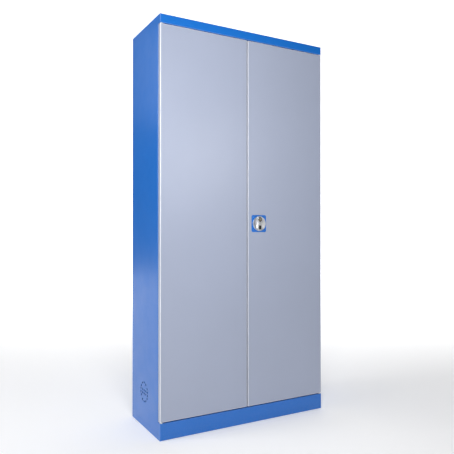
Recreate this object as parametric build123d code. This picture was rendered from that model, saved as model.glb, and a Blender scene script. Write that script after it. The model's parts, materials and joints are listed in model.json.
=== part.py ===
"""A two-door steel locker cabinet with a three-point rotary lock, in millimetres.

+Z is up and the doors face -Y. The origin is at floor level, in the middle of the
cabinet's bounding box. Depths named f are measured backwards from the front face
of the doors.
"""
from build123d import *
import math
import os

# ---- overall sizes
WIDTH = 930
HEIGHT = 1950
BODY_DEPTH = 380
HANDLE_PROUD = 15
SHEET = 1.0
HALF_WIDTH = WIDTH / 2
FRONT = HANDLE_PROUD - (BODY_DEPTH + HANDLE_PROUD) / 2
BACK = FRONT + BODY_DEPTH

# ---- front layout
DOOR_DEPTH = 22
TOP_GAP = 2
BOTTOM_GAP = 4
STOP_GAP = 5
CENTRE_GAP = 5
SIDE_GAP = 0.5
PLINTH_HEIGHT = 79
LINTEL_HEIGHT = 42
LINTEL_BOTTOM = HEIGHT - LINTEL_HEIGHT
DOOR_BOTTOM = PLINTH_HEIGHT + BOTTOM_GAP
DOOR_TOP = LINTEL_BOTTOM - TOP_GAP
DOOR_BACK = FRONT + DOOR_DEPTH
JAMB_Y = DOOR_BACK + STOP_GAP
JAMB_WIDTH = 30
JAMB_RETURN = 15
BEND = 2.5
FRONT_BEND = 3
DOOR_BEND = 4
SEAM = 0.2
STOP_HEIGHT = 20
RIM = 15

# ---- inside of the carcass
INNER_X = HALF_WIDTH - SHEET
FLANGE = 20
BACK_FLANGE = 15
BACK_PANEL_Y = BACK - 2 * SHEET
FLOOR_TOP = PLINTH_HEIGHT + STOP_HEIGHT + SHEET
JAMB_INNER_X = HALF_WIDTH - JAMB_WIDTH

# ---- door stops: magnets behind the upper one, rubber buffers on both
MAGNET_X = (-60, 130)
MAGNET_Z = LINTEL_BOTTOM - 11.5
MAGNET_NOSE = (38, 10)
MAGNET_BODY = (52, 15)
BUFFER_X = (200, 400)
BUFFER_Z = (LINTEL_BOTTOM - 11.5, DOOR_BOTTOM + 7.5)
BUFFER_RADIUS = 5

# ---- vents: rings of punched holes low on each side
VENT_Y = FRONT + 205
VENT_Z = 171
VENT_HOLE = 11
VENT_RING = 46
VENT_RING_ANGLES = (10, 30, 60, 90, 120, 150, 170)
VENT_ROW_PITCH = 16
VENT_COLUMN_PITCH = 22.5

# ---- shelf rails, clips and shelves
RAIL_WIDTH = 30
RAIL_DEPTH = 12
RAIL_FRONT_Y = JAMB_Y + 60
RAIL_REAR_Y = BACK - 45
RAIL_SLOT_PITCH = 25
RAIL_SLOT_FIRST = 110
RAIL_SLOT = (14, 4)
RAIL_TOP = HEIGHT - FLANGE - 4
SHELF_COUNT = 4
SHELF_FIRST = 470
SHELF_PITCH = 375
SHELF_THICKNESS = 25
SHELF_LIP = 12
SHELF_HALF_WIDTH = INNER_X - RAIL_DEPTH - 1
SHELF_FRONT = JAMB_Y + 20
SHELF_BACK = BACK - 20
CLIP_DROP = 10

# ---- door pivots: fixed pins in lintel and plinth, nylon bushes in the doors
PIVOT_INSET = 8
PIVOT_Y = FRONT + PIVOT_INSET
PIVOT_X = HALF_WIDTH - SIDE_GAP - PIVOT_INSET
PIN_RADIUS = 3
BUSH_RADIUS = 5
FIT = 0.05

# ---- lock, around a knob on the right door
KNOB_X = 66
KNOB_Z = 992.5
PLATE_SIZE = 85
PLATE_CORNER = 8
PLATE_THICKNESS = 3
SCREW_X = 30
SCREW_Z = 33
KNOB_RADIUS = 37
KNOB_RIM = 10
KNOB_GAP = 0.3
GRIP_WIDTH = 26
GRIP_HALF_LENGTH = 21
GRIP_PROUD = 14
KEY_Z = 20.5
KEY_RADIUS = 7.5
KEY_RING_RADIUS = 11
KEY_PIN_OFFSET = 5.5
KEY_PIN_RADIUS = 1.5
INSERT_Z = -19.5
SPINDLE_RADIUS = 7
SPINDLE_BUSH_RADIUS = 9
REAR_JOURNAL = 4.5
CASE_HALF_WIDTH = 36
CASE_HALF_HEIGHT = 48
CASE_BACK = 19
CASE_SHEET = 1.2

# ---- pinion and racks
MODULE = 1.5
PINION_TEETH = 17
PRESSURE_ANGLE = math.radians(20)
BACKLASH = 0.25
PITCH = math.pi * MODULE
PITCH_RADIUS = MODULE * PINION_TEETH / 2
ROOT_DEPTH = 1.25 * MODULE
ROD_WIDTH = 12
ROD_LAYER = (6, 10)
BOLT_LAYER = (12, 16)
PINION_LAYER = (5.5, 16.5)
ROD_TIP_INSET = 0.6
BOLT_TIP_X = 3
SLOT_CLEARANCE = 0.5
ROD_OFFSET = PITCH_RADIUS + ROOT_DEPTH + ROD_WIDTH / 2
UPPER_ROD_X = KNOB_X - ROD_OFFSET
LOWER_ROD_X = KNOB_X + ROD_OFFSET
BOLT_Z = KNOB_Z - ROD_OFFSET
UPPER_GUIDE_Z = (1330, 1820)
LOWER_GUIDE_Z = (655, 165)


# ------------------------------------------------------------------ helpers
def slab(x0, x1, y0, y1, z0, z1):
    """A box between two corners."""
    centre = Pos((x0 + x1) / 2, (y0 + y1) / 2, (z0 + z1) / 2)
    return centre * Box(abs(x1 - x0), abs(y1 - y0), abs(z1 - z0))


def slab_between(size, y0, y1):
    """A box of the given width and height about the Y axis, between two depths."""
    wide, high = size
    return slab(-wide / 2, wide / 2, y0, y1, -high / 2, high / 2)


def bent(points, thickness=SHEET, radius=BEND):
    """The section of a folded sheet that follows the given centre line."""
    return trace(FilletPolyline(*points, radius=radius), line_width=thickness)


def upright(points, z0, z1, thickness=SHEET, radius=BEND):
    """A folded sheet whose section lies in plan."""
    return extrude(Pos(0, 0, z0) * bent(points, thickness, radius), z1 - z0)


def crosswise(points, x0, x1, thickness=SHEET, radius=BEND):
    """A folded sheet whose section lies in the YZ plane."""
    return extrude(Pos(x0, 0, 0) * (Plane.YZ * bent(points, thickness, radius)), x1 - x0)


def mirrored(shape):
    """The same shape on the other side of the cabinet."""
    return mirror(shape, about=Plane.YZ)


def along_y(x, z, radius, f0, f1):
    """A cylinder along the depth, between two distances behind the front face."""
    middle = Pos(x, FRONT + (f0 + f1) / 2, z)
    return middle * Rot(90, 0, 0) * Cylinder(radius, abs(f1 - f0))


def along_z(x, y, radius, z0, z1):
    """A vertical cylinder."""
    return Pos(x, y, (z0 + z1) / 2) * Cylinder(radius, z1 - z0)


def front_layer(shape, f0, f1):
    """A flat outline drawn in X and Z, given a depth between f0 and f1."""
    return extrude(Pos(0, FRONT + f1, 0) * (Plane.XZ * shape), f1 - f0)


# ------------------------------------------------------------------ carcass
def vent_holes():
    """Punched holes of one vent, as cutters that pass through the left side."""
    half_row = VENT_ROW_PITCH / 2
    angles = [math.radians(sign * angle) for angle in VENT_RING_ANGLES for sign in (1, -1)]
    ring = [(VENT_RING * math.cos(angle), VENT_RING * math.sin(angle)) for angle in angles]
    columns = (-VENT_COLUMN_PITCH, 0, VENT_COLUMN_PITCH)
    rows = [(column, side * half_row) for column in columns for side in (1, -1)]
    punch = Rot(0, 90, 0) * Cylinder(VENT_HOLE / 2, 6 * SHEET)
    return [Pos(-HALF_WIDTH, VENT_Y + y, VENT_Z + z) * punch for y, z in ring + rows]


def side_panel():
    """Left side: back flange, wall, and the jamb folded in behind the door."""
    wall = HALF_WIDTH - SHEET / 2
    section = [
        (-JAMB_INNER_X - SHEET / 2, JAMB_Y + JAMB_RETURN),
        (-JAMB_INNER_X - SHEET / 2, JAMB_Y + SHEET / 2),
        (-wall, JAMB_Y + SHEET / 2),
        (-wall, BACK - SHEET / 2),
        (-HALF_WIDTH + BACK_FLANGE, BACK - SHEET / 2),
    ]
    panel = upright(section, 0, HEIGHT)
    for z0, z1 in ((0, PLINTH_HEIGHT), (LINTEL_BOTTOM, HEIGHT)):
        relief = slab(-HALF_WIDTH - 1, -HALF_WIDTH + 5, JAMB_Y - 1, JAMB_Y + 5, z0, z1)
        edge = slab(-HALF_WIDTH, -INNER_X, JAMB_Y + SEAM, JAMB_Y + 5, z0, z1)
        panel = panel - relief + edge
    jamb_back = JAMB_Y + JAMB_RETURN + 1
    above_jamb = slab(-INNER_X, -JAMB_INNER_X + 1, JAMB_Y - 1, jamb_back, HEIGHT - 2 * SHEET, HEIGHT)
    return panel - above_jamb - vent_holes()


def front_box(z0, z1):
    """A folded box across the front, open towards the back, for lintel or plinth."""
    shell = slab(-HALF_WIDTH, HALF_WIDTH, FRONT, JAMB_Y, z0, z1)
    shell = fillet(shell.faces().sort_by(Axis.Y)[0].edges(), FRONT_BEND)
    hollow = slab(-INNER_X, INNER_X, FRONT + SHEET, JAMB_Y + 1, z0 + SHEET, z1 - SHEET)
    hollow = fillet(hollow.faces().sort_by(Axis.Y)[0].edges(), FRONT_BEND - SHEET)
    return shell - hollow


def rod_opening(x, z):
    """A slot for a lock rod through a horizontal fold at height z."""
    wide = ROD_WIDTH / 2 + SLOT_CLEARANCE + 0.5
    y0 = FRONT + ROD_LAYER[0] - 1
    y1 = FRONT + ROD_LAYER[1] + 1
    return slab(x - wide, x + wide, y0, y1, z - 2, z + 2)


def pin_openings(z):
    """Holes for the two pivot pins through a horizontal fold at height z."""
    return [along_z(side * PIVOT_X, PIVOT_Y, PIN_RADIUS + FIT, z - 2, z + 2) for side in (-1, 1)]


def lintel():
    """Fascia above the doors."""
    z = LINTEL_BOTTOM + SHEET / 2
    return front_box(LINTEL_BOTTOM, HEIGHT) - rod_opening(UPPER_ROD_X, z) - pin_openings(z)


def plinth():
    """Kick board below the doors."""
    z = PLINTH_HEIGHT - SHEET / 2
    return front_box(0, PLINTH_HEIGHT) - rod_opening(LOWER_ROD_X, z) - pin_openings(z)


def magnet_window(x, z):
    """Opening for the nose of a magnetic catch in the door stop."""
    wide, high = MAGNET_NOSE
    return Pos(x, JAMB_Y, z) * Box(wide + 1, 8, high + 1)


def corner_reliefs():
    """Cutters that clear the bends of the side panels' back flanges."""
    near = INNER_X - BEND
    y0 = BACK - SHEET - BEND
    return [slab(side * near, side * (INNER_X + 1), y0, BACK, 0, HEIGHT) for side in (-1, 1)]


def top_panel():
    """Roof sheet with a fold on each side; the front fold is the upper door stop."""
    under = HEIGHT - SHEET
    sheet = slab(-INNER_X, INNER_X, JAMB_Y + SEAM, BACK_PANEL_Y, under, HEIGHT)
    stop_z = LINTEL_BOTTOM - STOP_HEIGHT
    stop_x = JAMB_INNER_X - SEAM
    stop = slab(-stop_x, stop_x, JAMB_Y + SEAM, JAMB_Y + SEAM + SHEET, stop_z, under)
    rear = slab(-INNER_X, INNER_X, BACK_PANEL_Y - SHEET, BACK_PANEL_Y, under - FLANGE, under)
    panel = sheet + stop + rear
    for side in (-1, 1):
        x0, x1 = sorted((side * INNER_X, side * (INNER_X - SHEET)))
        panel = panel + slab(x0, x1, JAMB_Y + JAMB_RETURN + 5, BACK_PANEL_Y, under - FLANGE, under)
    for x in MAGNET_X:
        panel = panel - magnet_window(x, MAGNET_Z)
    return panel - corner_reliefs()


def bottom_panel():
    """Cabinet floor; its front fold goes down behind the plinth as the lower stop."""
    under = FLOOR_TOP - SHEET
    stop_x = JAMB_INNER_X - SEAM
    notch_y = JAMB_Y + JAMB_RETURN + SEAM
    section = [
        (JAMB_Y + SEAM + SHEET / 2, PLINTH_HEIGHT - 2 * FLANGE),
        (JAMB_Y + SEAM + SHEET / 2, FLOOR_TOP - SHEET / 2),
        (notch_y + 10, FLOOR_TOP - SHEET / 2),
    ]
    nose = crosswise(section, -stop_x, stop_x)
    half = INNER_X - SEAM
    sheet = slab(-half, half, notch_y, BACK_PANEL_Y - SHEET, under, FLOOR_TOP)
    rear = slab(-half, half, BACK_PANEL_Y - SHEET, BACK_PANEL_Y, under - FLANGE, FLOOR_TOP)
    return nose + sheet + rear - corner_reliefs()


def back_panel():
    """Flat sheet welded inside the back flanges of the two sides."""
    half = INNER_X - BEND
    return slab(-half, half, BACK_PANEL_Y, BACK - SHEET, 0, HEIGHT)


def back_stiffener():
    """Upright hat section that stiffens the middle of the back panel."""
    web_y = BACK_PANEL_Y - 12
    section = [
        (-35, BACK_PANEL_Y - SHEET / 2),
        (-20, BACK_PANEL_Y - SHEET / 2),
        (-14, web_y + SHEET / 2),
        (14, web_y + SHEET / 2),
        (20, BACK_PANEL_Y - SHEET / 2),
        (35, BACK_PANEL_Y - SHEET / 2),
    ]
    return upright(section, FLOOR_TOP + 1, HEIGHT - FLANGE - 3, radius=1.5)


def base_rail(side):
    """Angle along the foot of one side panel, which the cabinet stands on."""
    wall = INNER_X - 0.75
    section = [(side * (INNER_X - 28), 0.75), (side * wall, 0.75), (side * wall, 40)]
    y0 = JAMB_Y + JAMB_RETURN + 2
    length = BACK_PANEL_Y - 30 - y0
    outline = trace(FilletPolyline(*section, radius=2), line_width=1.5)
    return extrude(Pos(0, y0 + length, 0) * (Plane.XZ * outline), length)


def rear_base_rail():
    """Angle along the foot of the back panel."""
    wall = BACK_PANEL_Y - 0.75
    section = [(wall - 27, 0.75), (wall, 0.75), (wall, 50)]
    return crosswise(section, -INNER_X + 1, INNER_X - 1, 1.5, 2)


def shelf_rail(side, y):
    """Upright channel on a side panel, with a ladder of slots for shelf clips."""
    web = INNER_X - RAIL_DEPTH + SHEET / 2
    half = (RAIL_WIDTH - SHEET) / 2
    foot = side * INNER_X
    section = [(foot, y - half), (side * web, y - half), (side * web, y + half), (foot, y + half)]
    rail = upright(section, FLOOR_TOP + 1, RAIL_TOP, radius=1.5)
    count = int((RAIL_TOP - RAIL_SLOT_FIRST - 10) / RAIL_SLOT_PITCH)
    wide, high = RAIL_SLOT
    slot = Box(6 * SHEET, wide, high)
    heights = [RAIL_SLOT_FIRST + step * RAIL_SLOT_PITCH for step in range(1, count)]
    return rail - [Pos(side * web, y, z) * slot for z in heights]


def shelf_clip(side, y, top):
    """Folded clip: a tongue in the rail's slot, a plate on the rail, and a ledge."""
    face = INNER_X - RAIL_DEPTH
    plate = slab(side * (face - 1.5), side * face, y - 9, y + 9, top - 20, top)
    ledge = slab(side * (face - 14), side * (face - 1.5), y - 9, y + 9, top - 1.5, top)
    tongue_z = top - CLIP_DROP
    tongue = slab(side * face, side * (face + 5), y - 6, y + 6, tongue_z - 1.6, tongue_z + 1.6)
    hook = slab(side * (face + 3), side * (face + 5), y - 6, y + 6, tongue_z - 5, tongue_z)
    return plate + ledge + tongue + hook


def shelf_clips():
    """Four clips under each shelf."""
    places = [(side, y) for side in (-1, 1) for y in (RAIL_FRONT_Y, RAIL_REAR_Y)]
    tops = [shelf_top(level) - SHELF_THICKNESS for level in range(SHELF_COUNT)]
    return Compound([shelf_clip(side, y, top) for top in tops for side, y in places])


def pivot_pin(side, upper):
    """Pivot pin with its mounting plate, welded inside the lintel or the plinth."""
    fold = LINTEL_BOTTOM + SHEET if upper else PLINTH_HEIGHT - SHEET
    away = 1 if upper else -1
    z0, z1 = sorted((fold, fold + 2 * away))
    x0, x1 = sorted((side * (PIVOT_X + 5), side * (PIVOT_X - 18)))
    plate = slab(x0, x1, PIVOT_Y - 5, PIVOT_Y + 11, z0, z1)
    z0, z1 = sorted((fold + 2 * away, fold - 16 * away))
    pin = along_z(side * PIVOT_X, PIVOT_Y, PIN_RADIUS, z0, z1)
    tip = pin.edges().sort_by(Axis.Z)
    tip = tip[0] if upper else tip[-1]
    return plate + chamfer(tip, 1)


def magnet_catches():
    """Magnetic catches behind the upper door stop, one for each door."""
    stop_back = JAMB_Y + SEAM + SHEET
    catches = []
    for x in MAGNET_X:
        body = Pos(x, 0, MAGNET_Z) * slab_between(MAGNET_BODY, stop_back, JAMB_Y + 15)
        nose = Pos(x, 0, MAGNET_Z) * slab_between(MAGNET_NOSE, DOOR_BACK + 0.4, stop_back)
        catches.append(body + nose)
    return Compound(catches)


def door_buffers():
    """Rubber buffers between the doors and their stops."""
    places = [(side * x, z) for side in (-1, 1) for x in BUFFER_X for z in BUFFER_Z]
    face = DOOR_DEPTH + SEAM
    return Compound([along_y(x, z, BUFFER_RADIUS, face, face + STOP_GAP) for x, z in places])


# ------------------------------------------------------------------ doors
def door_span(side):
    """Left and right edge of the left door (-1) or the right door (1)."""
    return tuple(sorted((side * (HALF_WIDTH - SIDE_GAP), side * CENTRE_GAP / 2)))


def door_skin(x0, x1):
    """Front sheet of a door, with the rounded folds around it."""
    tray = slab(x0, x1, FRONT, DOOR_BACK, DOOR_BOTTOM, DOOR_TOP)
    tray = fillet(tray.faces().sort_by(Axis.Y)[0].edges(), DOOR_BEND)
    low, high = DOOR_BOTTOM + SHEET, DOOR_TOP - SHEET
    room = slab(x0 + SHEET, x1 - SHEET, FRONT + SHEET, DOOR_BACK + 1, low, high)
    room = fillet(room.faces().sort_by(Axis.Y)[0].edges(), DOOR_BEND - SHEET)
    behind_folds = slab(x0 - 1, x1 + 1, FRONT + DOOR_BEND, DOOR_BACK + 2, DOOR_BOTTOM - 1, DOOR_TOP + 1)
    return tray - room - behind_folds


def edge_strips(side):
    """The four flat edges of a door, from the folds back to the rim."""
    x0, x1 = door_span(side)
    y0, y1 = FRONT + DOOR_BEND, DOOR_BACK - SHEET
    ends = [(DOOR_BOTTOM, DOOR_BOTTOM + SHEET), (DOOR_TOP - SHEET, DOOR_TOP)]
    strips = [slab(x, x + SHEET, y0, y1, DOOR_BOTTOM, DOOR_TOP) for x in (x0, x1 - SHEET)]
    inset = SHEET + SEAM
    return strips + [slab(x0 + inset, x1 - inset, y0, y1, z0, z1) for z0, z1 in ends]


def door_rim(side):
    """Flat frame welded on the back of a door's four edges."""
    x0, x1 = door_span(side)
    frame = slab(x0, x1, DOOR_BACK - SHEET, DOOR_BACK, DOOR_BOTTOM, DOOR_TOP)
    low, high = DOOR_BOTTOM + RIM, DOOR_TOP - RIM
    return frame - slab(x0 + RIM, x1 - RIM, DOOR_BACK - 2, DOOR_BACK + 1, low, high)


def bush_openings(side):
    """Holes for the two pivot bushes in the top and bottom edges of a door."""
    x = side * PIVOT_X
    radius = BUSH_RADIUS + FIT
    return [along_z(x, PIVOT_Y, radius, z - 2, z + 2) for z in (DOOR_BOTTOM, DOOR_TOP)]


def bolt_opening(x):
    """Slot for the side bolt in an upright door edge."""
    grow = SLOT_CLEARANCE
    y0 = FRONT + BOLT_LAYER[0] - grow
    y1 = FRONT + BOLT_LAYER[1] + grow
    half = ROD_WIDTH / 2 + grow
    return slab(x - 2, x + 2, y0, y1, BOLT_Z - half, BOLT_Z + half)


def left_openings():
    """Openings in the edges of the left door."""
    return [*bush_openings(-1), bolt_opening(-CENTRE_GAP / 2)]


def right_openings():
    """Openings in the edges of the right door."""
    rods = [rod_opening(UPPER_ROD_X, DOOR_TOP), rod_opening(LOWER_ROD_X, DOOR_BOTTOM)]
    return [*bush_openings(1), bolt_opening(CENTRE_GAP / 2), *rods]


def left_skin():
    """Front sheet of the left door."""
    return door_skin(*door_span(-1)) - left_openings()


def right_skin():
    """Front sheet of the right door, drilled for the lock."""
    skin = door_skin(*door_span(1)) - right_openings()
    skin = skin - along_y(KNOB_X, KNOB_Z, SPINDLE_BUSH_RADIUS + FIT, -2, 3)
    for x, z in screw_places():
        skin = skin - along_y(x, z, 2.2, -2, 3)
    return skin


def door_edges(side, openings):
    """The edges of a door with the openings cut in them."""
    return Compound([strip - openings for strip in edge_strips(side)])


def door_stiffener(x):
    """Upright hat section glued inside a door's front sheet."""
    near = FRONT + SHEET
    section = [
        (x - 45, near + SHEET / 2),
        (x - 28, near + SHEET / 2),
        (x - 22, near + 15),
        (x + 22, near + 15),
        (x + 28, near + SHEET / 2),
        (x + 45, near + SHEET / 2),
    ]
    return upright(section, DOOR_BOTTOM + 25, DOOR_TOP - 25, radius=2)


def door_bushes(side):
    """Flanged nylon bushes that a door turns on; the lower one carries its weight."""
    x = side * PIVOT_X
    bushes = []
    for edge, up, collar in ((DOOR_TOP, 1, TOP_GAP - 0.5), (DOOR_BOTTOM, -1, BOTTOM_GAP - SEAM)):
        z0, z1 = sorted((edge, edge + up * collar))
        ring = along_z(x, PIVOT_Y, 7, z0, z1)
        z0, z1 = sorted((edge, edge - up * 12))
        sleeve = along_z(x, PIVOT_Y, BUSH_RADIUS, z0, z1)
        bore = along_z(x, PIVOT_Y, PIN_RADIUS + FIT, edge - 20, edge + 20)
        bushes.append(ring + sleeve - bore)
    return Compound(bushes)


def bolt_keeper():
    """Steel plate behind the slot in the left door, where the side bolt goes in."""
    edge = -CENTRE_GAP / 2 - SHEET
    plate = slab(edge - 2, edge, FRONT + 4, DOOR_BACK - 2, BOLT_Z - 35, BOLT_Z + 35)
    return plate - bolt_opening(edge - 1)


# ------------------------------------------------------------------ lock housing
def screw_places():
    """The four fixing screws around the knob."""
    return [(KNOB_X + sx * SCREW_X, KNOB_Z + sz * SCREW_Z) for sx in (-1, 1) for sz in (-1, 1)]


def turned_about(x, z, shape, angle):
    """A shape turned about an axis along Y through x, z."""
    centre = Location((x, FRONT, z))
    return centre * Rot(0, angle, 0) * centre.inverse() * shape


def arc_groove(x, z, radius, start, sweep, f0, f1):
    """A round-ended groove for the key's pin, on an arc seen from the front."""
    path = CenterArc((x, z), radius, start, sweep)
    outline = trace(path, line_width=2 * (KEY_PIN_RADIUS + 0.4))
    for end in (path @ 0, path @ 1):
        outline = outline + Pos(end.X, end.Y) * Circle(KEY_PIN_RADIUS + 0.4)
    return front_layer(outline, f0, f1)


def escutcheon():
    """Square plate under the knob, with the groove that the key's pin runs in."""
    outline = Pos(KNOB_X, KNOB_Z) * RectangleRounded(PLATE_SIZE, PLATE_SIZE, PLATE_CORNER)
    plate = front_layer(outline, -PLATE_THICKNESS, 0)
    plate = fillet(plate.faces().sort_by(Axis.Y)[0].edges(), 1.2)
    plate = plate - along_y(KNOB_X, KNOB_Z, SPINDLE_BUSH_RADIUS + FIT, -5, 2)
    for x, z in screw_places():
        plate = plate - along_y(x, z, 2.2, -5, 2)
    floor = -PLATE_THICKNESS + 2
    turn = arc_groove(KNOB_X, KNOB_Z, KEY_Z - KEY_PIN_OFFSET, 90, -90, -4, floor)
    lock_open = arc_groove(KNOB_X, KNOB_Z + KEY_Z, KEY_PIN_OFFSET, -90, -90, -4, floor)
    lock_shut = turned_about(KNOB_X, KNOB_Z, lock_open, 90)
    return plate - turn - lock_open - lock_shut


def lock_screws():
    """Screws that clamp the plate, the door sheet and the lock case together."""
    screws = []
    for x, z in screw_places():
        head = along_y(x, z, 4, -PLATE_THICKNESS - 2.2, -PLATE_THICKNESS)
        head = fillet(head.edges().sort_by(Axis.Y)[0], 1.4)
        recess = Pos(x, FRONT - PLATE_THICKNESS - 2, z) * (Box(3.6, 2, 1) + Box(1, 2, 3.6))
        screws.append(head + along_y(x, z, 2, -PLATE_THICKNESS, 5) - recess)
    return Compound(screws)


def lock_case():
    """Open steel box behind the door sheet that holds the pinion and the racks."""
    x0 = KNOB_X - CASE_HALF_WIDTH
    x1 = KNOB_X + CASE_HALF_WIDTH
    z0 = KNOB_Z - CASE_HALF_HEIGHT
    z1 = KNOB_Z + CASE_HALF_HEIGHT
    wall = CASE_SHEET
    case = slab(x0, x1, FRONT + SHEET, FRONT + CASE_BACK, z0, z1)
    near = FRONT + SHEET + wall
    case = case - slab(x0 + wall, x1 - wall, near, FRONT + CASE_BACK + 1, z0 + wall, z1 - wall)
    case = case - along_y(KNOB_X, KNOB_Z, SPINDLE_BUSH_RADIUS + FIT, 0, 5)
    for x, z in screw_places():
        case = case - along_y(x, z, 2.1, 0, 4)
    case = case - rod_opening(UPPER_ROD_X, z1) - rod_opening(LOWER_ROD_X, z0)
    return case - bolt_opening(x0)


def lock_cover():
    """Plate that closes the lock case and carries the rear end of the spindle."""
    x0 = KNOB_X - CASE_HALF_WIDTH
    x1 = KNOB_X + CASE_HALF_WIDTH
    z0 = KNOB_Z - CASE_HALF_HEIGHT
    z1 = KNOB_Z + CASE_HALF_HEIGHT
    cover = slab(x0, x1, FRONT + CASE_BACK, FRONT + CASE_BACK + CASE_SHEET, z0, z1)
    return cover - along_y(KNOB_X, KNOB_Z, REAR_JOURNAL + FIT, CASE_BACK - 2, CASE_BACK + 4)


def spindle_bush():
    """Nylon sleeve through plate, door and case that the spindle turns in."""
    flange_f = SHEET + CASE_SHEET
    sleeve = along_y(KNOB_X, KNOB_Z, SPINDLE_BUSH_RADIUS, -PLATE_THICKNESS, flange_f)
    flange = along_y(KNOB_X, KNOB_Z, 12, flange_f, flange_f + 1.5)
    return sleeve + flange - along_y(KNOB_X, KNOB_Z, SPINDLE_RADIUS + FIT, -5, 6)


def rod_guides():
    """Nylon blocks on the door sheet that keep the two rods straight."""
    guides = []
    for x, heights in ((UPPER_ROD_X, UPPER_GUIDE_Z), (LOWER_ROD_X, LOWER_GUIDE_Z)):
        for z in heights:
            block = slab(x - 11, x + 11, FRONT + SHEET, FRONT + 14, z - 10, z + 10)
            grow = 0.3
            y0 = FRONT + ROD_LAYER[0] - grow
            y1 = FRONT + ROD_LAYER[1] + grow
            half = ROD_WIDTH / 2 + grow
            guides.append(block - slab(x - half, x + half, y0, y1, z - 11, z + 11))
    return Compound(guides)


# ------------------------------------------------------------------ knob
def knob():
    """Round dished knob with an upright grip across its middle."""
    profile = [
        (0, PLATE_THICKNESS + KNOB_GAP),
        (KNOB_RADIUS, PLATE_THICKNESS + KNOB_GAP),
        (KNOB_RADIUS, KNOB_RIM - 2),
        (KNOB_RADIUS - 1.5, KNOB_RIM),
        (KNOB_RADIUS - 3, KNOB_RIM),
    ]
    wall = Polyline(*profile)
    dish = ThreePointArc(profile[-1], (20, 6.3), (0, 5.5))
    closing = Line((0, 5.5), profile[0])
    section = make_face([wall, dish, closing])
    body = revolve(section, Axis.Y)
    body = Pos(KNOB_X, FRONT, KNOB_Z) * Rot(180, 0, 0) * body
    length = 2 * GRIP_HALF_LENGTH + GRIP_WIDTH - 1
    grip = Pos(KNOB_X, KNOB_Z) * Rot(0, 0, 90) * SlotOverall(length, GRIP_WIDTH)
    grip = front_layer(grip, -GRIP_PROUD, -PLATE_THICKNESS - KNOB_GAP - 1)
    grip = fillet(grip.faces().sort_by(Axis.Y)[0].edges(), 2.5)
    body = body + grip
    key_z = KNOB_Z + KEY_Z
    body = body - along_y(KNOB_X, key_z, KEY_RING_RADIUS + FIT, -HANDLE_PROUD - 1, -6)
    body = body - along_y(KNOB_X, key_z, KEY_RADIUS + FIT, -HANDLE_PROUD - 1, -2)
    body = body - insert_block(FIT, -HANDLE_PROUD - 1)
    return body - along_y(KNOB_X, KNOB_Z, SPINDLE_RADIUS + FIT / 2, -9, 0)


def insert_block(grow, front):
    """Outline of the black insert in the grip, given a little extra room."""
    outline = Pos(KNOB_X, KNOB_Z + INSERT_Z) * RectangleRounded(15 + 2 * grow, 20 + 2 * grow, 2)
    return front_layer(outline, front, -9)


def key_ring():
    """Black housing of the key cylinder, pressed into the grip."""
    ring = along_y(KNOB_X, KNOB_Z + KEY_Z, KEY_RING_RADIUS, -HANDLE_PROUD, -6)
    ring = fillet(ring.edges().sort_by(Axis.Y)[0], 1)
    return ring - along_y(KNOB_X, KNOB_Z + KEY_Z, KEY_RADIUS + FIT, -HANDLE_PROUD - 1, 0)


def key_plug():
    """Key cylinder plug with its keyway, and the pin that blocks the knob."""
    x = KNOB_X
    z = KNOB_Z + KEY_Z
    plug = along_y(x, z, KEY_RADIUS, -HANDLE_PROUD + 0.4, -PLATE_THICKNESS - KNOB_GAP)
    plug = chamfer(plug.edges().sort_by(Axis.Y)[0], 0.4)
    keyway = Pos(x, FRONT - HANDLE_PROUD + 2, z) * Box(1.8, 8, 9)
    pin_f = -PLATE_THICKNESS + 1.8
    pin = along_y(x, z - KEY_PIN_OFFSET, KEY_PIN_RADIUS, -PLATE_THICKNESS - KNOB_GAP - 1, pin_f)
    return plug - keyway + pin


def grip_insert():
    """Black plastic insert in the lower half of the grip."""
    insert = insert_block(0, -GRIP_PROUD + 0.6)
    return fillet(insert.faces().sort_by(Axis.Y)[0].edges(), 0.8)


def spindle():
    """Steel spindle: round at the knob, square in the pinion, round at the cover."""
    square = 2 * SPINDLE_RADIUS / math.sqrt(2) - 0.6
    front = along_y(KNOB_X, KNOB_Z, SPINDLE_RADIUS, -9, PINION_LAYER[0] - 0.3)
    y0 = FRONT + PINION_LAYER[0] - 0.3
    y1 = FRONT + PINION_LAYER[1] + 0.3
    half = square / 2
    middle = slab(KNOB_X - half, KNOB_X + half, y0, y1, KNOB_Z - half, KNOB_Z + half)
    rear = along_y(KNOB_X, KNOB_Z, REAR_JOURNAL, PINION_LAYER[1] + 0.3, DOOR_DEPTH - 0.4)
    groove_f0 = CASE_BACK + CASE_SHEET + 0.2
    groove = along_y(KNOB_X, KNOB_Z, 6, groove_f0, groove_f0 + 0.9)
    groove = groove - along_y(KNOB_X, KNOB_Z, REAR_JOURNAL - 0.7, groove_f0 - 1, groove_f0 + 2)
    return front + middle + rear - groove


def spindle_clip():
    """Snap ring that holds the spindle in the cover."""
    groove_f0 = CASE_BACK + CASE_SHEET + 0.25
    clip = along_y(KNOB_X, KNOB_Z, 7, groove_f0, groove_f0 + 0.8)
    clip = clip - along_y(KNOB_X, KNOB_Z, REAR_JOURNAL - 0.7, groove_f0 - 1, groove_f0 + 2)
    y0 = FRONT + groove_f0
    mouth = slab(KNOB_X - 2.5, KNOB_X + 2.5, y0 - 1, y0 + 2, KNOB_Z - 9, KNOB_Z)
    return clip - mouth


# ------------------------------------------------------------------ gearing
def involute(base, radius):
    """Angle and half-width of an involute flank at a radius, from the base circle."""
    return math.sqrt((radius / base) ** 2 - 1) - math.acos(base / radius)


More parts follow.
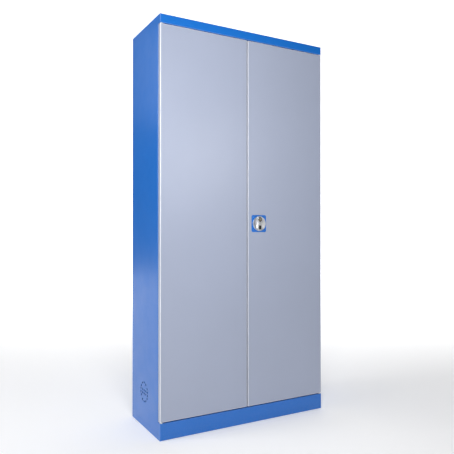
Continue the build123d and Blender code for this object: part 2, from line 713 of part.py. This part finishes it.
def pinion():
    """Involute pinion on the spindle, wide enough to drive rods and side bolt."""
    base = PITCH_RADIUS * math.cos(PRESSURE_ANGLE)
    tip = PITCH_RADIUS + MODULE
    root = PITCH_RADIUS - ROOT_DEPTH
    half_tooth = math.pi / (2 * PINION_TEETH) + involute(base, PITCH_RADIUS)
    steps = 5
    radii = [base + (tip - base) * step / steps for step in range(steps + 1)]
    flank = [(root, half_tooth)] + [(radius, half_tooth - involute(base, radius)) for radius in radii]
    points = []
    for tooth in range(PINION_TEETH):
        middle = 2 * math.pi * tooth / PINION_TEETH
        points += [(radius, middle - angle) for radius, angle in flank]
        points += [(radius, middle + angle) for radius, angle in reversed(flank)]
    corners = [(KNOB_X + r * math.cos(a), KNOB_Z + r * math.sin(a)) for r, a in points]
    wheel = front_layer(make_face(Polyline(*corners, close=True)), *PINION_LAYER)
    half = SPINDLE_RADIUS / math.sqrt(2) - 0.3
    y0 = FRONT + PINION_LAYER[0] - 1
    y1 = FRONT + PINION_LAYER[1] + 1
    return wheel - slab(KNOB_X - half, KNOB_X + half, y0, y1, KNOB_Z - half, KNOB_Z + half)


def rack_outline(first, last, gap, bar_start, bar_end):
    """A toothed bar along X with its pitch line at zero; teeth point to +Y."""
    half = PITCH / 4 - BACKLASH / 2
    lean = math.tan(PRESSURE_ANGLE)
    points = [(bar_start, -ROOT_DEPTH - ROD_WIDTH), (bar_start, -ROOT_DEPTH)]
    for tooth in range(first, last + 1):
        middle = gap + (tooth + 0.5) * PITCH
        points.append((middle - half - ROOT_DEPTH * lean, -ROOT_DEPTH))
        points.append((middle - half + MODULE * lean * 0.9, 0.9 * MODULE))
        points.append((middle + half - MODULE * lean * 0.9, 0.9 * MODULE))
        points.append((middle + half + ROOT_DEPTH * lean, -ROOT_DEPTH))
    points += [(bar_end, -ROOT_DEPTH), (bar_end, -ROOT_DEPTH - ROD_WIDTH)]
    return make_face(Polyline(*points, close=True))


def upper_rod():
    """Rod that goes up into the lintel, with its rack on the pinion's left."""
    reach = DOOR_TOP - ROD_TIP_INSET - KNOB_Z
    outline = rack_outline(-7, 0, PITCH / 2, -36, reach)
    outline = Pos(KNOB_X - PITCH_RADIUS, KNOB_Z) * Rot(0, 0, 90) * mirror(outline, about=Plane.XZ)
    rod = front_layer(outline, *ROD_LAYER)
    return chamfer(rod.edges().filter_by(Axis.Y).sort_by(Axis.Z)[-2:], 2)


def lower_rod():
    """Rod that goes down into the plinth, with its rack on the pinion's right."""
    reach = KNOB_Z - DOOR_BOTTOM - ROD_TIP_INSET
    outline = rack_outline(-7, 0, 0, -36, reach)
    outline = Pos(KNOB_X + PITCH_RADIUS, KNOB_Z) * Rot(0, 0, -90) * mirror(outline, about=Plane.XZ)
    rod = front_layer(outline, *ROD_LAYER)
    return chamfer(rod.edges().filter_by(Axis.Y).sort_by(Axis.Z)[:2], 2)


def side_bolt():
    """Bolt that goes sideways into the left door, racked under the pinion."""
    outline = rack_outline(-1, 6, PITCH / 4, BOLT_TIP_X - KNOB_X, 34)
    outline = Pos(KNOB_X, KNOB_Z - PITCH_RADIUS) * outline
    bolt = front_layer(outline, *BOLT_LAYER)
    return chamfer(bolt.edges().filter_by(Axis.Y).sort_by(Axis.X)[:2], 2)


# ------------------------------------------------------------------ shelves
def shelf_top(level):
    """Height of a shelf's upper face."""
    return SHELF_FIRST + level * SHELF_PITCH


def shelf(level):
    """Folded steel shelf: top sheet, four edges turned down, lips front and back."""
    top = shelf_top(level)
    low = top - SHELF_THICKNESS
    half = SHELF_HALF_WIDTH
    pan = slab(-half, half, SHELF_FRONT, SHELF_BACK, low, top)
    pan = fillet(pan.faces().sort_by(Axis.Z)[-1].edges(), BEND)
    inner = half - SHEET
    room = slab(-inner, inner, SHELF_FRONT + SHEET, SHELF_BACK - SHEET, low + SHEET, top - SHEET)
    room = fillet(room.faces().sort_by(Axis.Z)[-1].edges(), BEND - SHEET)
    way = slab(-inner, inner, SHELF_FRONT + SHELF_LIP, SHELF_BACK - SHELF_LIP, low - 1, low + 2)
    return pan - room - way


def shelf_rib(level):
    """Hat section under a shelf, from side to side."""
    under = shelf_top(level) - SHEET
    middle = (SHELF_FRONT + SHELF_BACK) / 2
    section = [
        (middle - 38, under - SHEET / 2),
        (middle - 22, under - SHEET / 2),
        (middle - 18, under - 16),
        (middle + 18, under - 16),
        (middle + 22, under - SHEET / 2),
        (middle + 38, under - SHEET / 2),
    ]
    half = SHELF_HALF_WIDTH - 6
    return crosswise(section, -half, half, radius=2)


def build():
    """Every node of the cabinet, by name."""
    left_side = side_panel()
    nodes = {
        "side_panel_left": left_side,
        "side_panel_right": mirrored(left_side),
        "top_panel": top_panel(),
        "bottom_panel": bottom_panel(),
        "back_panel": back_panel(),
        "back_stiffener": back_stiffener(),
        "lintel": lintel(),
        "plinth": plinth(),
        "base_rail_left": base_rail(-1),
        "base_rail_right": base_rail(1),
        "base_rail_rear": rear_base_rail(),
        "shelf_clips": shelf_clips(),
        "magnet_catches": magnet_catches(),
        "door_buffers": door_buffers(),
        "left_door_skin": left_skin(),
        "left_door_edges": door_edges(-1, left_openings()),
        "left_door_rim": door_rim(-1),
        "left_door_stiffener": door_stiffener(-WIDTH / 4),
        "left_door_bushes": door_bushes(-1),
        "bolt_keeper": bolt_keeper(),
        "right_door_skin": right_skin(),
        "right_door_edges": door_edges(1, right_openings()),
        "right_door_rim": door_rim(1),
        "right_door_stiffener": door_stiffener(WIDTH / 4),
        "right_door_bushes": door_bushes(1),
        "rod_guides": rod_guides(),
        "escutcheon": escutcheon(),
        "lock_screws": lock_screws(),
        "lock_case": lock_case(),
        "lock_cover": lock_cover(),
        "spindle_bush": spindle_bush(),
        "knob": knob(),
        "key_ring": key_ring(),
        "grip_insert": grip_insert(),
        "spindle": spindle(),
        "spindle_clip": spindle_clip(),
        "pinion": pinion(),
        "key_plug": key_plug(),
        "upper_rod": upper_rod(),
        "lower_rod": lower_rod(),
        "side_bolt": side_bolt(),
    }
    for side, name in ((-1, "left"), (1, "right")):
        nodes["shelf_rail_front_" + name] = shelf_rail(side, RAIL_FRONT_Y)
        nodes["shelf_rail_rear_" + name] = shelf_rail(side, RAIL_REAR_Y)
        nodes["pivot_pin_top_" + name] = pivot_pin(side, True)
        nodes["pivot_pin_bottom_" + name] = pivot_pin(side, False)
    for level in range(SHELF_COUNT):
        nodes[f"shelf_{level + 1}"] = shelf(level)
        nodes[f"shelf_rib_{level + 1}"] = shelf_rib(level)
    return nodes


os.makedirs("parts", exist_ok=True)
for node, shape in build().items():
    export_step(shape, f"parts/{node}.step")
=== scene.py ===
"""Looks for the two-door steel locker cabinet: materials, light and camera.

Lengths are in metres, in the frame's own axes: the doors face -Y and +Z is up.
"""
import json
import math

import bpy
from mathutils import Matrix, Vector


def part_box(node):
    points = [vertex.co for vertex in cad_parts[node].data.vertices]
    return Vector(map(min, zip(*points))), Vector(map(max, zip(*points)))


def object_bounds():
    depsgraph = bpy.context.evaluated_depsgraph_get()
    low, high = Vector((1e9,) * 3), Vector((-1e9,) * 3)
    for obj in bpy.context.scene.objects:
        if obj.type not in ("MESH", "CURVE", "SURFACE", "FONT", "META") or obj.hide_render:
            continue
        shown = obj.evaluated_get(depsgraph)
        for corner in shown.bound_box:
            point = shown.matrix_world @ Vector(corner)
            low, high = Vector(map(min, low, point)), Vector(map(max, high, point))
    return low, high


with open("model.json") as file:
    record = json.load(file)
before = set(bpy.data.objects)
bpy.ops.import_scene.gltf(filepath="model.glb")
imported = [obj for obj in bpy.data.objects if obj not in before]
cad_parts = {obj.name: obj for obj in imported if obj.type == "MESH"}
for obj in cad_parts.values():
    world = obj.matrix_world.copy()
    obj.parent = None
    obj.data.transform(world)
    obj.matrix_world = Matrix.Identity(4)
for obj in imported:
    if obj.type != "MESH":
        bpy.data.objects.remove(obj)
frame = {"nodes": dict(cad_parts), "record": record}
CAD_LOW, CAD_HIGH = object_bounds()

KNOB_LOW, KNOB_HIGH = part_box("knob")
KNOB_CENTRE = (KNOB_LOW + KNOB_HIGH) / 2
FRONT_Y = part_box("right_door_skin")[0].y

# Where the viewer stands, from the middle of the front face at floor level.
CAMERA_FROM_FRONT = Vector((-1.3666, -2.2437, 0.9577))
CAMERA_YAW = math.radians(29.12)
CAMERA_PITCH = math.radians(0.38)
CAMERA_LENS = 41.84

# The studio: the floor glows more away from the viewer, along VIEW_SHARE of X and Y.
STUDIO_REACH = 9.0
BACKDROP_SWEEP = (-5, 100)
BACKDROP_STEP = 5
VIEW_SHARE = (("X", 0.49), ("Y", 0.87))
GLOW_REACH = (-0.6, 4.8)
FLOOR_GLOW = 0.22
FLOOR_GLOW_FAR = 1.1
BACKDROP_GLOW = 0.85
ROOM_GLOW = 0.09

# Each soft light has its place, its target, its size and its power in watts.
LIGHTS = {
    "key": ((-0.9, -1.9, 1.72), (-0.2, 0.0, 1.35), (0.8, 0.8), 36),
    "front_right": ((1.4, -3.6, 1.8), (0.0, 0.0, 1.3), (0.9, 0.9), 9),
    "right": ((1.6, -3.2, 1.6), (0.0, 0.0, 1.0), (1.0, 1.6), 1),
    "side_high": ((-3.2, 0.3, 2.4), (-0.4, 0.0, 1.2), (1.5, 1.5), 47),
    "side_low": ((-2.6, 0.4, 0.7), (-0.4, 0.0, 0.6), (1.2, 1.0), 5),
    "rear_left": ((-2.2, 2.6, 2.6), (-0.4, 0.0, 1.5), (1.5, 1.0), 3),
}

BLUE = (0.004, 0.150, 0.57)
DOOR_GREY = (0.372, 0.414, 0.535)
SHELF_GREY = (0.56, 0.58, 0.60)
DUST_GREY = (0.42, 0.41, 0.39)
DUST_HEIGHT = 0.11
WORN_EDGE = 0.0016
SPECK_SHARE = 0.10
KNOB_RINGS = 9000
BEND_SPLIT = math.radians(28)


# ------------------------------------------------------------------ node helpers
class Shader:
    """A material under construction, with short calls for the nodes it needs."""

    def __init__(self, name):
        self.material = bpy.data.materials.new(name)
        self.material.use_nodes = True
        self.tree = self.material.node_tree
        self.bsdf = self.tree.nodes["Principled BSDF"]
        self.place = self.node("ShaderNodeTexCoord").outputs["Object"]

    def node(self, kind, **settings):
        """A new node with some of its properties set."""
        node = self.tree.nodes.new(kind)
        for key, value in settings.items():
            setattr(node, key, value)
        return node

    def link(self, source, target):
        """Connects a value, colour or socket to a socket."""
        if isinstance(source, (int, float)):
            target.default_value = source
        elif isinstance(source, tuple):
            target.default_value = (*source, 1.0)[: len(target.default_value)]
        else:
            self.tree.links.new(source, target)

    def set(self, **values):
        """Constants straight on the shader's own sockets."""
        for key, value in values.items():
            self.link(value, self.bsdf.inputs[key.replace("_", " ")])

    def noise(self, scale, detail=2.0, roughness=0.5, place=None):
        """Noise from 0 to 1, with a scale in features per metre."""
        node = self.node("ShaderNodeTexNoise")
        self.link(place or self.place, node.inputs["Vector"])
        self.link(scale, node.inputs["Scale"])
        self.link(detail, node.inputs["Detail"])
        self.link(roughness, node.inputs["Roughness"])
        return node.outputs["Fac"]

    def math(self, operation, a, b=0.0, clamp=False):
        """One Math node."""
        node = self.node("ShaderNodeMath", operation=operation, use_clamp=clamp)
        self.link(a, node.inputs[0])
        self.link(b, node.inputs[1])
        return node.outputs[0]

    def ramp(self, value, low, high, to_low=0.0, to_high=1.0):
        """Maps low..high smoothly to to_low..to_high."""
        node = self.node("ShaderNodeMapRange", interpolation_type="SMOOTHSTEP")
        self.link(value, node.inputs["Value"])
        self.link(low, node.inputs["From Min"])
        self.link(high, node.inputs["From Max"])
        self.link(to_low, node.inputs["To Min"])
        self.link(to_high, node.inputs["To Max"])
        return node.outputs["Result"]

    def mix(self, factor, a, b):
        """Mixes two colours."""
        node = self.node("ShaderNodeMix", data_type="RGBA")
        self.link(factor, node.inputs[0])
        self.link(a, node.inputs[6])
        self.link(b, node.inputs[7])
        return node.outputs[2]

    def bump(self, height, depth, normal=None):
        """A bump map whose height of 1 stands depth metres proud."""
        node = self.node("ShaderNodeBump")
        node.inputs["Strength"].default_value = 1.0
        node.inputs["Distance"].default_value = depth
        self.link(height, node.inputs["Height"])
        if normal is not None:
            self.link(normal, node.inputs["Normal"])
        return node.outputs["Normal"]

    def edges(self, radius):
        """1 on convex and concave edges within a radius, 0 on flat sheet."""
        bevel = self.node("ShaderNodeBevel", samples=4)
        bevel.inputs["Radius"].default_value = radius
        geometry = self.node("ShaderNodeNewGeometry")
        dot = self.node("ShaderNodeVectorMath", operation="DOT_PRODUCT")
        self.link(bevel.outputs["Normal"], dot.inputs[0])
        self.link(geometry.outputs["Normal"], dot.inputs[1])
        return self.ramp(dot.outputs["Value"], 0.995, 0.80)

    def fold_highlight_mask(self):
        """Mask for the painted highlight: 1 on rounded bends and slanted sheet, 0 on sheet that is square
        to the object's axes.
        """
        normal = self.node("ShaderNodeSeparateXYZ")
        self.link(self.node("ShaderNodeTexCoord").outputs["Normal"], normal.inputs[0])
        steepness = [self.math("ABSOLUTE", normal.outputs[name]) for name in ("X", "Y", "Z")]
        largest = self.math("MAXIMUM", self.math("MAXIMUM", steepness[0], steepness[1]), steepness[2])
        return self.ramp(largest, 0.99, 0.93)

    def axis(self, name):
        """One coordinate of the place on the object."""
        node = self.node("ShaderNodeSeparateXYZ")
        self.link(self.place, node.inputs[0])
        return node.outputs[name]


def scaled(colour, factor):
    """A colour made lighter or darker."""
    return tuple(channel * factor for channel in colour)


# ------------------------------------------------------------------ materials
def powder_coat(name, colour, roughness=0.34, peel=0.000035, fold_highlight_share=0.3, pale=0.2):
    """Sprayed and baked paint: orange peel, cloudy tone, dust low down, worn edges, and a painted highlight
    on rounded bends.

    The argument before pale is how strongly rounded bends and slanted sheet take a painted highlight, and
    pale is how near to white both that painted highlight and the worn edges turn.
    """
    paint = Shader(name)
    cloud = paint.noise(2.6, 3.0)
    tone = paint.mix(cloud, scaled(colour, 0.955), scaled(colour, 1.04))
    speck = paint.ramp(paint.noise(1400, 1.0), 0.66, 0.78)
    tone = paint.mix(paint.math("MULTIPLY", speck, SPECK_SHARE), tone, scaled(colour, 0.72))
    wear = paint.ramp(paint.noise(90, 3.0), 0.35, 0.65, 0.15, 0.5)
    edge = paint.math("MULTIPLY", paint.edges(WORN_EDGE), wear)
    # One paler colour for worn sharp edges (real wear) and for rounded bends and slanted sheet (a painted
    # highlight, as if the bends caught the lamps).
    worn_and_highlight_colour = tuple(channel * (1 - pale) + pale for channel in colour)
    fold = paint.math("MULTIPLY", paint.fold_highlight_mask(), fold_highlight_share)
    tone = paint.mix(paint.math("MAXIMUM", edge, fold), tone, worn_and_highlight_colour)
    low = paint.ramp(paint.axis("Z"), DUST_HEIGHT, 0.0)
    dust = paint.math("MULTIPLY", low, paint.ramp(paint.noise(260, 4.0), 0.35, 0.75, 0.0, 0.05))
    tone = paint.mix(dust, tone, DUST_GREY)
    paint.link(tone, paint.bsdf.inputs["Base Color"])
    uneven = paint.ramp(paint.noise(14, 4.0), 0.2, 0.8, roughness - 0.05, roughness + 0.05)
    dusty = paint.math("ADD", uneven, paint.math("MULTIPLY", dust, 1.2))
    paint.link(dusty, paint.bsdf.inputs["Roughness"])
    orange = paint.bump(paint.noise(520, 2.0, 0.55), peel)
    paint.link(orange, paint.bsdf.inputs["Normal"])
    paint.set(IOR=1.5, Coat_Weight=0.25, Coat_Roughness=0.18)
    return paint.material


def zinc(name):
    """Zinc-plated sheet: soft crystals and a fine grain."""
    metal = Shader(name)
    crystals = metal.node("ShaderNodeTexVoronoi", feature="F1")
    metal.link(metal.place, crystals.inputs["Vector"])
    crystals.inputs["Scale"].default_value = 95
    shade = metal.node("ShaderNodeSeparateColor")
    metal.link(crystals.outputs["Color"], shade.inputs[0])
    grain = shade.outputs[0]
    metal.link(metal.mix(grain, (0.46, 0.47, 0.49), (0.60, 0.61, 0.62)), metal.bsdf.inputs["Base Color"])
    metal.link(metal.ramp(grain, 0, 1, 0.34, 0.5), metal.bsdf.inputs["Roughness"])
    metal.link(metal.bump(metal.noise(900, 3.0), 0.00001), metal.bsdf.inputs["Normal"])
    metal.set(Metallic=1.0)
    return metal.material


def turned_steel(name):
    """Bright turned steel with fine tool marks and a little haze."""
    metal = Shader(name)
    marks = metal.node("ShaderNodeTexWave", wave_type="BANDS", bands_direction="Z")
    metal.link(metal.place, marks.inputs["Vector"])
    marks.inputs["Scale"].default_value = 900
    marks.inputs["Distortion"].default_value = 1.5
    haze = metal.noise(160, 3.0)
    metal.link(metal.mix(haze, (0.50, 0.50, 0.51), (0.62, 0.62, 0.63)), metal.bsdf.inputs["Base Color"])
    metal.link(metal.ramp(haze, 0.3, 0.7, 0.2, 0.34), metal.bsdf.inputs["Roughness"])
    metal.link(metal.bump(marks.outputs["Fac"], 0.000006), metal.bsdf.inputs["Normal"])
    metal.set(Metallic=1.0)
    return metal.material


def satin_nickel(name):
    """Plated die casting: rings from polishing about the knob's axis, and a little haze."""
    metal = Shader(name)
    offset = metal.node("ShaderNodeVectorMath", operation="SUBTRACT")
    metal.link(metal.place, offset.inputs[0])
    offset.inputs[1].default_value = KNOB_CENTRE
    parts = metal.node("ShaderNodeSeparateXYZ")
    metal.link(offset.outputs[0], parts.inputs[0])
    squares = [metal.math("POWER", metal.math("ABSOLUTE", parts.outputs[axis]), 2.0) for axis in ("X", "Z")]
    radius = metal.math("SQRT", metal.math("ADD", *squares))
    wobble = metal.math("MULTIPLY", metal.noise(120, 2.0), 0.0004)
    rings = metal.math("SINE", metal.math("MULTIPLY", metal.math("ADD", radius, wobble), KNOB_RINGS))
    haze = metal.noise(70, 4.0)
    metal.link(metal.mix(haze, (0.74, 0.75, 0.78), (0.86, 0.87, 0.89)), metal.bsdf.inputs["Base Color"])
    metal.link(metal.ramp(haze, 0.25, 0.75, 0.30, 0.40), metal.bsdf.inputs["Roughness"])
    metal.link(metal.bump(rings, 0.0000035), metal.bsdf.inputs["Normal"])
    metal.set(Metallic=1.0)
    return metal.material


def worn_brass(name):
    """Nickel-plated brass, worn warm in patches."""
    metal = Shader(name)
    wear = metal.ramp(metal.noise(420, 4.0), 0.42, 0.62)
    metal.link(metal.mix(wear, (0.72, 0.68, 0.58), (0.62, 0.46, 0.22)), metal.bsdf.inputs["Base Color"])
    metal.link(metal.ramp(wear, 0, 1, 0.22, 0.42), metal.bsdf.inputs["Roughness"])
    metal.link(metal.bump(metal.noise(2500, 3.0), 0.000008), metal.bsdf.inputs["Normal"])
    metal.set(Metallic=1.0)
    return metal.material


def moulded(name, colour, roughness, grain=0.00003, scale=1100, subsurface=0.0):
    """Moulded plastic or rubber with a fine spark-eroded grain."""
    plastic = Shader(name)
    cloud = plastic.noise(60, 3.0)
    tone = plastic.mix(cloud, scaled(colour, 0.85), scaled(colour, 1.15))
    edge = plastic.math("MULTIPLY", plastic.edges(0.0006), 0.3)
    tone = plastic.mix(edge, tone, tuple(channel * 0.8 + 0.06 for channel in colour))
    plastic.link(tone, plastic.bsdf.inputs["Base Color"])
    uneven = plastic.ramp(plastic.noise(300, 3.0), 0.3, 0.7, roughness - 0.06, roughness + 0.06)
    plastic.link(uneven, plastic.bsdf.inputs["Roughness"])
    plastic.link(plastic.bump(plastic.noise(scale, 2.0), grain), plastic.bsdf.inputs["Normal"])
    plastic.set(Subsurface_Weight=subsurface)
    return plastic.material


def finishes():
    """One material for each material slot of the record, and one for the doors' pressed stiffeners."""
    return {
        # The blue carcass gets a faint painted highlight on its rounded bends.
        "blue_paint": powder_coat("blue_powder_coat", BLUE),
        # The doors' rounded bends get a strong, near-white painted highlight.
        "grey_paint": powder_coat("grey_powder_coat", DOOR_GREY, 0.36, fold_highlight_share=1.0, pale=0.6),
        # The stiffeners' slanted webs get no painted highlight.
        "pressed_grey_paint": powder_coat("pressed_grey_powder_coat", DOOR_GREY, 0.36, fold_highlight_share=0.0),
        # The shelves get a faint painted highlight on their rounded bends.
        "shelf_paint": powder_coat("shelf_powder_coat", SHELF_GREY, 0.42),
        "galvanised_steel": zinc("zinc_plate"),
        "bright_steel": turned_steel("turned_steel"),
        "knob_metal": satin_nickel("satin_nickel"),
        "key_brass": worn_brass("worn_brass"),
        "black_plastic": moulded("black_plastic", (0.012, 0.012, 0.014), 0.42),
        "nylon": moulded("nylon", (0.72, 0.70, 0.64), 0.45, subsurface=0.15),
        "rubber": moulded("black_rubber", (0.02, 0.02, 0.02), 0.78, 0.00005, 700),
    }


def dress_nodes(materials):
    """Gives every CAD node its material, and smooth shading across its bends."""
    slots = {entry["node"]: entry["material_slot"] for entry in frame["record"]["subparts"]}
    for name, node in frame["nodes"].items():
        node.data.materials.clear()
        finish = "pressed_grey_paint" if name.endswith("door_stiffener") else slots[name]
        node.data.materials.append(materials[finish])
        node.data.shade_smooth()
        split = node.modifiers.new("smooth_bends", "EDGE_SPLIT")
        split.split_angle = BEND_SPLIT


# ------------------------------------------------------------------ studio
def glowing_sheet(name, panels, glow, far_glow):
    """A white acrylic sheet in panels, with glow near the viewer and far_glow away from them."""
    corners = [corner for panel in panels for corner in panel]
    faces = [tuple(range(start, start + 4)) for start in range(0, len(corners), 4)]
    mesh = bpy.data.meshes.new(name)
    mesh.from_pydata(corners, [], faces)
    sheet = bpy.data.objects.new(name, mesh)
    bpy.context.scene.collection.objects.link(sheet)
    surface = Shader(name)
    tone = surface.mix(surface.noise(1.2, 3.0), (0.82, 0.82, 0.83), (0.86, 0.86, 0.86))
    surface.link(tone, surface.bsdf.inputs["Base Color"])
    surface.set(Roughness=0.8, Emission_Color=(1.0, 1.0, 1.0))
    shares = [surface.math("MULTIPLY", surface.axis(name), share) for name, share in VIEW_SHARE]
    ahead = surface.math("ADD", *shares)
    strength = surface.ramp(ahead, *GLOW_REACH, glow, far_glow)
    surface.link(strength, surface.bsdf.inputs["Emission Strength"])
    mesh.materials.append(surface.material)


def floor():
    """A large square of pale floor."""
    reach = STUDIO_REACH
    square = [(-reach, -reach, 0), (reach, -reach, 0), (reach, reach, 0), (-reach, reach, 0)]
    glowing_sheet("floor", [square], FLOOR_GLOW, FLOOR_GLOW_FAR)


def backdrop():
    """A curved pale wall, from straight behind the cabinet round to its right."""
    first, last = BACKDROP_SWEEP
    headings = [math.radians(heading) for heading in range(first, last + BACKDROP_STEP, BACKDROP_STEP)]
    foot = [(STUDIO_REACH * math.sin(heading), STUDIO_REACH * math.cos(heading)) for heading in headings]
    panels = [[(*a, 0), (*b, 0), (*b, STUDIO_REACH), (*a, STUDIO_REACH)] for a, b in zip(foot, foot[1:])]
    glowing_sheet("backdrop", panels, BACKDROP_GLOW, BACKDROP_GLOW)


def area_light(name, place, target, size, power):
    """A soft rectangular light that points at a target."""
    data = bpy.data.lights.new(name, "AREA")
    data.shape = "RECTANGLE"
    data.size, data.size_y = size
    data.energy = power
    lamp = bpy.data.objects.new(name, data)
    lamp.location = place
    lamp.rotation_mode = "QUATERNION"
    lamp.rotation_quaternion = (Vector(target) - Vector(place)).to_track_quat("-Z", "Y")
    bpy.context.scene.collection.objects.link(lamp)


def studio():
    """Pale floor and backdrop, a dim room around them, and soft lights."""
    floor()
    backdrop()
    world = bpy.data.worlds.new("studio")
    world.use_nodes = True
    room = world.node_tree.nodes["Background"]
    room.inputs["Color"].default_value = (1.0, 1.0, 1.0, 1.0)
    room.inputs["Strength"].default_value = ROOM_GLOW
    bpy.context.scene.world = world
    for name, (place, target, size, power) in LIGHTS.items():
        area_light(name, place, target, size, power)


def camera():
    """The viewer's place, in front of the left half and level with the lock."""
    data = bpy.data.cameras.new("camera")
    data.lens = CAMERA_LENS
    data.sensor_width = 36.0
    data.clip_end = 60.0
    viewer = bpy.data.objects.new("camera", data)
    viewer.location = Vector((0, FRONT_Y, CAD_LOW.z)) + CAMERA_FROM_FRONT
    viewer.rotation_euler = (math.pi / 2 + CAMERA_PITCH, 0, -CAMERA_YAW)
    bpy.context.scene.collection.objects.link(viewer)
    bpy.context.scene.camera = viewer


dress_nodes(finishes())
studio()
camera()
bpy.context.scene.view_settings.view_transform = "Standard"
